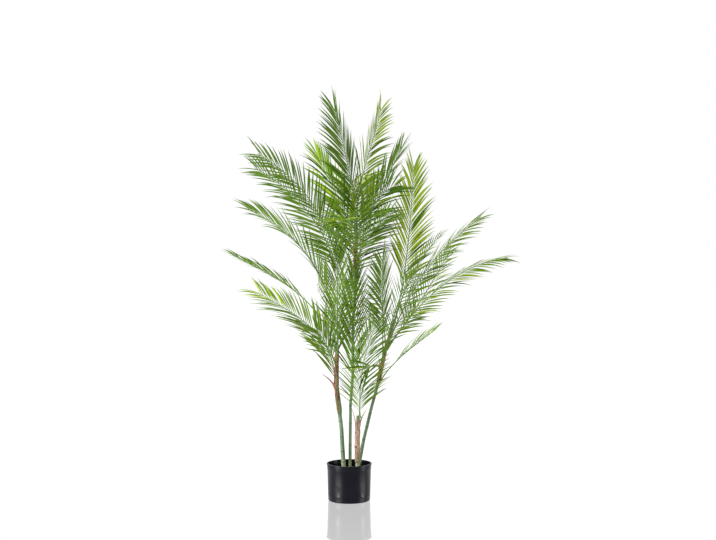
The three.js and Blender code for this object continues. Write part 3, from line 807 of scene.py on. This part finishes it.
def leaf_meshes(plan, sizes):
    """Vertices of the leaflets: four-cornered rings with a ridge, and a point each."""
    line = leaf_line(plan, np.append(LEAF_AT, 1.0))
    tangent = unit(np.diff(line, axis=1))
    across = plan["across"][:, None] - tangent * (plan["across"][:, None] * tangent).sum(
        -1, keepdims=True)
    across = unit(across)
    twist = plan["twist"][:, None, None] * LEAF_AT[None, :, None]
    across = turn_about(across, tangent, twist)
    up = np.cross(across, tangent)
    up *= np.where((up * plan["up"][:, None]).sum(-1, keepdims=True) < 0, -1, 1)
    half = plan["width"][:, None, None] * LEAF_WIDE[None, :, None] / 2
    thick = sizes.thick / MM * (1 - LEAF_THINNER * LEAF_AT)[None, :, None] / 2
    fold = half * LEAF_FOLD
    centre = line[:, :-1]
    ring = np.stack([centre - across * half, centre + up * (fold + thick),
                     centre + across * half, centre + up * (fold - thick)], 2)
    return np.concatenate([ring.reshape(len(line), -1, 3), line[:, -1:]], 1)


def leaf_faces():
    """Faces of one leaflet, a diamond drawn out to a point, and which of them are undersides."""
    bm = bmesh.new()
    corners = loft(bm, [level_ring(np.array([0, 0, at]), np.ones(4)) for at in (*LEAF_AT, 1)])
    bmesh.ops.pointmerge(bm, verts=corners[-4:], merge_co=(0, 0, MM))
    for index, vert in enumerate(v for v in corners if v.is_valid):
        vert.index = index
    # Each face starts one corner on, which settles the diagonal that splits it
    faces = [[v.index for v in (*face.verts[1:], face.verts[0])] for face in bm.faces]
    bm.free()
    return faces, np.array([any(v % 4 == 3 for v in face) for face in faces])


def joined_mesh(name, points, faces, tones):
    """A mesh from points in millimetres, faces and their material numbers, faces outwards."""
    mesh = bpy.data.meshes.new(name)
    mesh.from_pydata((points * MM).tolist(), [], faces)
    mesh.polygons.foreach_set("material_index", tones)
    mesh.update()
    bm = bmesh.new()
    bm.from_mesh(mesh)
    bmesh.ops.recalc_face_normals(bm, faces=bm.faces)
    bm.to_mesh(mesh)
    bm.free()
    return mesh


def obstacles(frond, foot_r):
    """A tree of points on what a frond's leaflets keep clear of: stems and other ribs."""
    points = []
    for name, rows in STEMS.items():
        for h in np.arange(rows[0][0], rows[-1][0], 4):
            centre, radius = stem_at(name, h)
            points.append((centre, radius + STEM_ROOM))
    for other, rib in RIBS.items():
        if other != frond["name"]:
            for place in rib.frame(np.linspace(0.03, rib.end, 90))[0]:
                points.append((place, foot_r))
    tree = kdtree.KDTree(len(points))
    for i, (place, _) in enumerate(points):
        tree.insert(Vector(place), i)
    tree.balance()
    return tree, [radius for _, radius in points]


def clear_of(plan, tree, radii):
    """Which leaflets touch no stem and no other frond's rib."""
    keep = np.ones(len(plan["at"]), bool)
    for i, line in enumerate(leaf_line(plan, np.linspace(0.12, 0.98, 12))):
        keep[i] = not any(distance < radii[index] + LEAF_ROOM
                          for place in line
                          for _, index, distance in [tree.find(Vector(place))])
    return keep


class PALM_OT_ribs(bpy.types.Operator):
    """The fronds' ribs, one joined piece for each stem"""
    bl_idname = "palm.ribs"
    bl_label = "Ribs"

    def execute(self, context):
        foot_r = context.scene.palm_frond.rib_foot / MM
        material = stem_polyethylene("moulded_rib_polyethylene", "#486a24", "#668a38", "#8aa55c")
        for stem in STEMS:
            bm = bmesh.new()
            for frond in FRONDS:
                if frond["stem"] == stem:
                    loft(bm, rib_tube(frond, foot_r)[:, ::-1])
            finished(f"ribs_{stem}", mesh_of(bm, f"ribs_{stem}"), [material],
                     replaced(f"frond_{stem}_"), 60)
        return {"FINISHED"}


class PALM_OT_leaflets(bpy.types.Operator):
    """The fronds' leaflets, one joined piece for each stem"""
    bl_idname = "palm.leaflets"
    bl_label = "Leaflets"

    def execute(self, context):
        sizes = context.scene.palm_frond
        materials = [leaf_cloth(f"coated_leaf_cloth_{i}", code)
                     for i, code in enumerate(LEAF_TONES)]
        materials.append(leaf_cloth("coated_leaf_cloth_under", LEAF_UNDER))
        one, under = leaf_faces()
        per_leaf = 4 * len(LEAF_AT) + 1
        for stem_index, stem in enumerate(STEMS):
            rng = np.random.default_rng(SEED + stem_index)
            points, faces, tones, base = [], [], [], 0
            for frond in FRONDS:
                if frond["stem"] != stem:
                    continue
                plan = leaf_plan(frond, sizes, rng)
                around = obstacles(frond, sizes.rib_foot / MM)
                clear = clear_of(plan, *around)
                for turn in TURNS:
                    tried = aimed(plan, math.radians(turn))
                    freed = ~clear & clear_of(tried, *around)
                    plan = {key: np.where(freed.reshape(-1, *[1] * (value.ndim - 1)), tried[key],
                                          value) for key, value in plan.items()}
                    clear |= freed
                plan = {key: value[clear] for key, value in plan.items()}
                verts = leaf_meshes(plan, sizes)
                # The spray's tone, partly painted light and shade: darker on sprays in shade,
                # brighter on sprays that catch the light
                own = frond["tone"]
                dealt = np.where(rng.random(len(verts)) < OWN_SHARE, own,
                                 rng.integers(int(own > FRESH), len(LEAF_TONES), len(verts)))
                for tone in dealt:
                    faces += [[base + v for v in face] for face in one]
                    tones.append(np.where(under, len(LEAF_TONES), tone))
                    base += per_leaf
                points.append(verts.reshape(-1, 3))
            mesh = joined_mesh(f"leaflets_{stem}", np.concatenate(points), faces,
                               np.concatenate(tones))
            finished(f"leaflets_{stem}", mesh, materials,
                     replaced(f"frond_{stem}_"), 0)
        return {"FINISHED"}


# Stations along a tongue or a loose fibre
STRIP_AT = np.linspace(0, 1, 11)


def knot_away(name, height):
    """How far a height is from the nearest knot of a sheath."""
    return min((abs(knot - height) for knot in KNOTS.get(name, ())), default=math.inf)


def around_stem(name, place):
    """The angle at which a place in metres lies round a stem."""
    centre, _ = stem_at(name, place.z / MM)
    return math.atan2(place.y / MM - centre[1], place.x / MM - centre[0])


class PALM_OT_sheaths(bpy.types.Operator):
    """Torn fibrous sheaths with their dried tongues and loose fibres"""
    bl_idname = "palm.sheaths"
    bl_label = "Sheaths"

    def execute(self, context):
        sizes = context.scene.palm_sheath
        fibres = [husk_fibre("dried_husk_brown", "#56371a", "#96683a", "#c29a68"),
                  husk_fibre("dried_husk_pale", "#8a705c", "#bd9f88", "#decbb8"),
                  husk_fibre("dried_husk_dark", "#24160c", "#4b311d", "#77573a"),
                  husk_fibre("green_leaf_base", "#3f5c30", "#66854c", "#92a877"),
                  husk_fibre("dried_husk_red", "#7a4038", "#ad6e63", "#d3a094")]
        turn = np.linspace(0, 2 * math.pi, SHEATH_SIDES, endpoint=False)
        for index, (name, (low, high, thick, lip)) in enumerate(SHEATHS.items()):
            rng = np.random.default_rng(SEED + 50 + index)
            phase = rng.uniform(0, 2 * math.pi, 4)
            notch = sum(np.abs(np.sin(turn * (2 + i) + phase[i])) for i in range(4)) / 4
            rings = []
            for t in np.linspace(0, 1, SHEATH_LEVELS):
                centre, radius = stem_at(name, mix(low, high, t))
                radius += KNOT_OUT * math.exp(-((knot_away(name, centre[2]) / KNOT_SPREAD) ** 2))
                ridges = np.sin(turn * 11 + phase[0] + t * 9) * np.sin(turn * 4 + phase[1])
                wobble = np.sin(turn + phase[2] + t * 21) * np.sin(t * 34 + phase[3])
                uneven = (RIDGE_OUT * ridges + WOBBLE_OUT * wobble) * min(1, 9 * t)
                wall = mix(thick, lip, t) * min(1, 0.15 + 12 * t)
                rings.append(level_ring(centre, radius + SHEATH_OFF + wall + uneven))
            bm = bmesh.new()
            loft(bm, rings)
            for vert in bm.verts:
                t = (vert.co.z / MM - low) / (high - low)
                cut = np.interp(around_stem(name, vert.co) % (2 * math.pi), turn, notch,
                                period=2 * math.pi)
                vert.co.z -= max(0, t - NOTCH_FROM) / (1 - NOTCH_FROM) * cut * sizes.ragged
            for face in bm.faces:
                middle = face.calc_center_median()
                around = around_stem(name, middle)
                patch = noise.noise(Vector((math.cos(around) * 3, math.sin(around) * 3,
                                            middle.z * 26 + index * 9)))
                rise = (middle.z / MM - low) / (high - low)
                face.material_index = self.tone(name, around, rise, patch)
                if knot_away(name, middle.z / MM) < -KNOT_SCAR * math.cos(around):
                    face.material_index = DARK
            mesh = mesh_of(bm, f"sheath_{name}_fine")
            finished(f"sheath_{name}_fine", mesh, fibres, [f"sheath_{name}"], 50)
            bm = bmesh.new()
            self.tongues(bm, name, sizes)
            self.strands(bm, name, sizes, rng)
            finished(f"fibres_{name}", mesh_of(bm, f"fibres_{name}"), fibres,
                     [f"sheath_{name}"], 0)
        return {"FINISHED"}

    def tone(self, name, around, rise, patch):
        """Which fibre shows at a place round a sheath and at a share of its height."""
        main, other, green = SHEATH_LOOKS[name]
        if patch + 0.35 * math.cos(around) > green - 0.7 * max(0, 1 - 3 * rise):
            return GREEN
        return other if patch < -0.16 else main

    def tongues(self, bm, name, sizes):
        """Dried tongues that curl away from the stem."""
        for at, heading, out, rise, wide in TONGUES[name]:
            aim = np.array([math.cos(math.radians(heading)), math.sin(math.radians(heading)), 0])
            centre, radius = stem_at(name, at)
            reach = out * STRIP_AT ** 1.7
            line = centre + aim * (radius + 0.8) + aim * reach[:, None]
            line += np.outer(rise * STRIP_AT, [0, 0, 1])
            thick = sizes.tongue_thick / MM * (1.4 - STRIP_AT)
            self.strip(bm, name, line, wide * (0.9 - 0.85 * STRIP_AT ** 2.2), thick,
                       math.radians(TONGUE_LEAN), RED if name == "left" else STRAW)

    def strands(self, bm, name, sizes, rng):
        """Loose fibres that lie along the sheath, with a few that splay."""
        low, high, thick, lip = SHEATHS[name]
        pale = 0.65 if SHEATH_LOOKS[name][0] == STRAW else 0.3
        for _ in range(sizes.strands):
            heading = rng.uniform(0, 2 * math.pi)
            at = rng.uniform(low, high - 20)
            long = rng.uniform(18, 55)
            splay = rng.choice(SPLAYS, p=SPLAY_ODDS)
            line = []
            for share, angle in zip(STRIP_AT, heading + rng.normal(0, 0.25) * STRIP_AT):
                height = min(at + long * share, STEMS[name][-1][0])
                centre, radius = stem_at(name, height)
                wall = mix(thick, lip, min(1, (height - low) / (high - low)))
                away = radius + 0.5 + wall + splay * share ** 2
                line.append(centre + away * np.array([math.cos(angle), math.sin(angle), 0]))
            wide = sizes.strand_width / MM * (1.1 - 0.9 * STRIP_AT)
            fibre = int(rng.choice((BROWN, STRAW, DARK), p=[0.8 - pale, pale, 0.2]))
            self.strip(bm, name, np.array(line), wide, np.full(len(line), STRAND_THICK), 0, fibre)

    def strip(self, bm, name, line, wide, thick, lean, fibre):
        """Adds a flat strip along a line of points, turned over by its lean."""
        tangent = unit(np.gradient(line, axis=0))
        centre, _ = stem_at(name, line[0][2])
        out = np.array([line[0][0] - centre[0], line[0][1] - centre[1], 0])
        across = turn_about(unit(np.cross(tangent, unit(out))), tangent, lean)
        up = unit(np.cross(across, tangent))
        wide, thick = wide[:, None] / 2, thick[:, None] / 2
        loft(bm, np.stack([line + up * thick, line + across * wide,
                           line - up * thick, line - across * wide], 1), fibre)


def light_group(name, members, state):
    """A collection that holds a light to some pieces, or leaves them out of it."""
    group = bpy.data.collections.new(name)
    for piece in members:
        group.objects.link(piece)
    for member in group.collection_objects:
        member.light_linking.link_state = state
    return group


class PALM_OT_stage(bpy.types.Operator):
    """White glossy floor, soft studio lights and the photograph's camera"""
    bl_idname = "palm.stage"
    bl_label = "Stage"

    def execute(self, context):
        sizes = context.scene.palm_stage
        scene = context.scene
        bm = bmesh.new()
        bmesh.ops.create_circle(bm, cap_ends=True, segments=64, radius=60)
        floor = added("studio_floor", mesh_of(bm, "studio_floor"))
        material, tree, shader, _ = new_material("glossy_white_floor")
        wire(tree, shader, values={
            "Base Color": [*sizes.floor, 1], "Roughness": 0.06, "Coat Weight": 1.0,
            "Coat Roughness": 0.02, "Emission Color": [1, 1, 1, 1],
            "Emission Strength": sizes.floor_glow})
        floor.data.materials.append(material)

        world = bpy.data.worlds.new("studio")
        world.use_nodes = True
        tree = world.node_tree
        tree.nodes.clear()
        ray = add_node(tree, "ShaderNodeLightPath")
        dim = add_node(tree, "ShaderNodeMapRange", {"Value": ray.outputs["Is Diffuse Ray"]},
                       {"To Min": 1.0, "To Max": sizes.ambient})
        white = add_node(tree, "ShaderNodeBackground", {"Strength": dim.outputs["Result"]},
                         {"Color": (1, 1, 1, 1)})
        add_node(tree, "ShaderNodeOutputWorld", {"Surface": white.outputs["Background"]})
        scene.world = world

        sun = bpy.data.lights.new("ceiling", "SUN")
        sun.energy, sun.angle = sizes.ceiling, math.radians(40)
        ceiling = added("ceiling", sun)
        ceiling.rotation_euler = Vector((0.35, 0.3, -1)).to_track_quat("-Z", "Y").to_euler()
        # The strips give the pot its upright bands of light, and the fills light the plant alone
        pot = scene.objects["pot_fine"]
        pot_only = light_group("pot_only", [pot], "INCLUDE")
        plant_only = light_group("plant_only", [pot, floor], "EXCLUDE")
        ceiling.light_linking.receiver_collection = light_group("palm_only", [floor], "EXCLUDE")
        for name, turn, height, wide, high, power in LIGHTS:
            lamp = bpy.data.lights.new(name, "AREA")
            lamp.shape = "RECTANGLE"
            lamp.energy, lamp.size, lamp.size_y = power, wide, high
            light = added(name, lamp)
            if name.startswith("strip"):
                light.light_linking.receiver_collection = pot_only
                light.light_linking.blocker_collection = pot_only
            else:
                light.light_linking.receiver_collection = plant_only
            angle = math.radians(-90 - turn)
            light.location = (LIGHT_AWAY * math.cos(angle), LIGHT_AWAY * math.sin(angle), height)
            light.rotation_euler = (math.pi / 2, 0, angle + math.pi / 2)

        camera_data = bpy.data.cameras.new("camera")
        camera_data.lens = sizes.lens
        camera_data.sensor_width = 36
        camera_data.clip_end = 200
        camera = added("camera", camera_data)
        camera.location = (sizes.aside, -sizes.distance, sizes.height)
        camera.rotation_euler = (math.pi / 2, 0, 0)
        scene.camera = camera
        scene.view_settings.view_transform = "Standard"
        return {"FINISHED"}


class PALM_PT_panel(bpy.types.Panel):
    """The palm's pieces and their sizes"""
    bl_label = "Potted palm"
    bl_idname = "PALM_PT_panel"
    bl_space_type = "VIEW_3D"
    bl_region_type = "UI"
    bl_category = "Palm"

    def draw(self, context):
        for operators, group in PIECES:
            box = self.layout.box()
            for operator in operators:
                box.operator(operator)
            settings = getattr(context.scene, group)
            for key in settings.bl_rna.properties.keys():
                if key not in ("rna_type", "name"):
                    box.prop(settings, key)


PIECES = (
    (("palm.pot", "palm.fill"), "palm_pot"),
    (("palm.stems",), "palm_stem"),
    (("palm.sheaths",), "palm_sheath"),
    (("palm.ribs", "palm.leaflets"), "palm_frond"),
    (("palm.stage",), "palm_stage"),
)
GROUPS = {"palm_pot": PotSizes, "palm_stem": StemSizes, "palm_sheath": SheathSizes,
          "palm_frond": FrondSizes, "palm_stage": StageSizes}
CLASSES = (*GROUPS.values(), PALM_OT_pot, PALM_OT_fill, PALM_OT_stems, PALM_OT_sheaths,
           PALM_OT_ribs, PALM_OT_leaflets, PALM_OT_stage, PALM_PT_panel)


def register():
    for each in CLASSES:
        bpy.utils.register_class(each)
    for key, group in GROUPS.items():
        setattr(bpy.types.Scene, key, bpy.props.PointerProperty(type=group))


def unregister():
    for key in GROUPS:
        delattr(bpy.types.Scene, key)
    for each in reversed(CLASSES):
        bpy.utils.unregister_class(each)


def main():
    register()
    bpy.ops.palm.pot()
    bpy.ops.palm.fill()
    bpy.ops.palm.stems()
    bpy.ops.palm.sheaths()
    bpy.ops.palm.ribs()
    bpy.ops.palm.leaflets()
    bpy.ops.palm.stage()
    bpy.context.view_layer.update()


if __name__ == "__main__":
    main()
